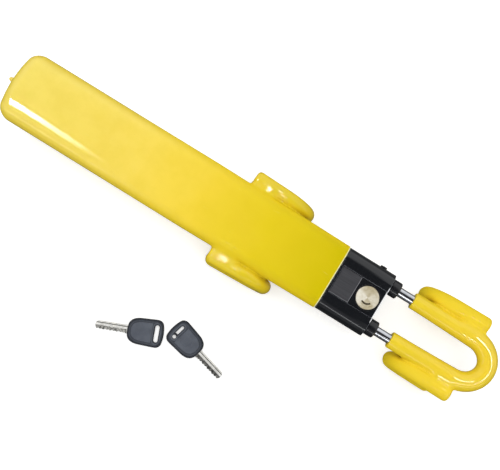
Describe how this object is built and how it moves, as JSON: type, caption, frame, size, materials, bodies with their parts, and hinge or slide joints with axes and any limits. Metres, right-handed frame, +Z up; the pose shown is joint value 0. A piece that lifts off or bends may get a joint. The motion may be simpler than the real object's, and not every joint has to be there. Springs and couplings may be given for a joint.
{
  "type": "steering wheel lock",
  "caption": "Twin-bar steering wheel lock with a flat coated handle, hooked U fork that slides out, key cylinder and loose keys.",
  "frame": {"origin": "on the housing's flat underside, straight below the middle of the key cylinder", "axes": "+X from the handle towards the fork, along the sliding rods; +Y to the lock's left; +Z up through the key cylinder's face"},
  "size_m": [0.5693, 0.2257, 0.0766],
  "materials": {
    "yellow_vinyl": "smooth dipped vinyl skin, soft gloss",
    "black_gloss": "glossy black moulded shell",
    "black_enamel": "gloss black enamel on steel",
    "plate_grey": "plain satin grey plate",
    "chrome": "polished hard chrome",
    "steel": "bare bent and welded steel",
    "spring_steel": "bright wire and stampings",
    "die_cast": "as-cast zinc alloy",
    "brass": "faced brass",
    "bronze": "sintered bronze",
    "nylon": "natural nylon",
    "bumper_rubber": "soft black rubber",
    "key_plastic": "fine-grained dark slate plastic",
    "key_metal": "nickel silver with milled bitting"
  },
  "bodies": {
    "handle": {"handle_jacket": "yellow_vinyl", "handle_tube": "steel", "tail_cap": "steel", "tube_rivets": "steel", "body_hook_left": "steel", "body_hook_right": "steel", "body_hook_jacket_left": "yellow_vinyl", "body_hook_jacket_right": "yellow_vinyl", "lock_block": "die_cast", "housing_top_cover": "black_gloss", "housing_bottom_cover": "black_gloss", "cover_screws": "steel", "label_plate": "plate_grey", "side_screw": "black_enamel", "rod_collar_left": "black_enamel", "rod_collar_right": "black_enamel", "rod_bush_left": "bronze", "rod_bush_right": "bronze", "cylinder_shell": "brass", "cylinder_bezel": "black_enamel", "cylinder_retaining_pin": "steel", "pawl_cover_plate": "steel", "pawl_plate_screws": "steel", "pawl_spring_left": "spring_steel", "pawl_spring_right": "spring_steel"},
    "fork": {"fork_rod": "chrome", "fork_jacket": "yellow_vinyl", "fork_hook_left": "steel", "fork_hook_right": "steel", "fork_hook_jacket_left": "yellow_vinyl", "fork_hook_jacket_right": "yellow_vinyl", "crosshead": "steel", "crosshead_pins": "steel", "crosshead_glide": "nylon", "stop_bumper": "bumper_rubber"},
    "plug": {"cylinder_plug": "brass", "lock_discs": "brass", "cam_plate": "steel", "cam_clip": "spring_steel"},
    "pawl_left": {"pawl_left": "steel"},
    "pawl_right": {"pawl_right": "steel"},
    "key_1": {"key_1_head": "key_plastic", "key_1_blade": "key_metal"},
    "key_2": {"key_2_head": "key_plastic", "key_2_blade": "key_metal"}
  },
  "joints": [
    {"name": "fork_slide", "type": "slide", "parent": "handle", "child": "fork", "axis": [1, 0, 0], "range_m": [-0.015, 0.18]},
    {"name": "key_turn", "type": "hinge", "parent": "handle", "child": "plug", "pos_m": [0, 0, 0.01], "axis": [0, 0, 1], "range_deg": [0, 90]},
    {"name": "pawl_left_slide", "type": "slide", "parent": "handle", "child": "pawl_left", "axis": [0, 1, 0], "range_m": [0, 0.0032], "deforming": ["pawl_spring_left"]},
    {"name": "pawl_right_slide", "type": "slide", "parent": "handle", "child": "pawl_right", "axis": [0, -1, 0], "range_m": [0, 0.0032], "deforming": ["pawl_spring_right"]},
    {"name": "key_1_lift", "type": "slide", "parent": "handle", "child": "key_1", "axis": [0, 0, 1], "range_m": [0, 0.05]},
    {"name": "key_2_lift", "type": "slide", "parent": "handle", "child": "key_2", "axis": [0, 0, 1], "range_m": [0, 0.05]}
  ],
  "couplings": [
    {"joint": "pawl_left_slide", "follows": "key_turn", "m_per_rad": 0.002037},
    {"joint": "pawl_right_slide", "follows": "key_turn", "m_per_rad": 0.002037}
  ]
}
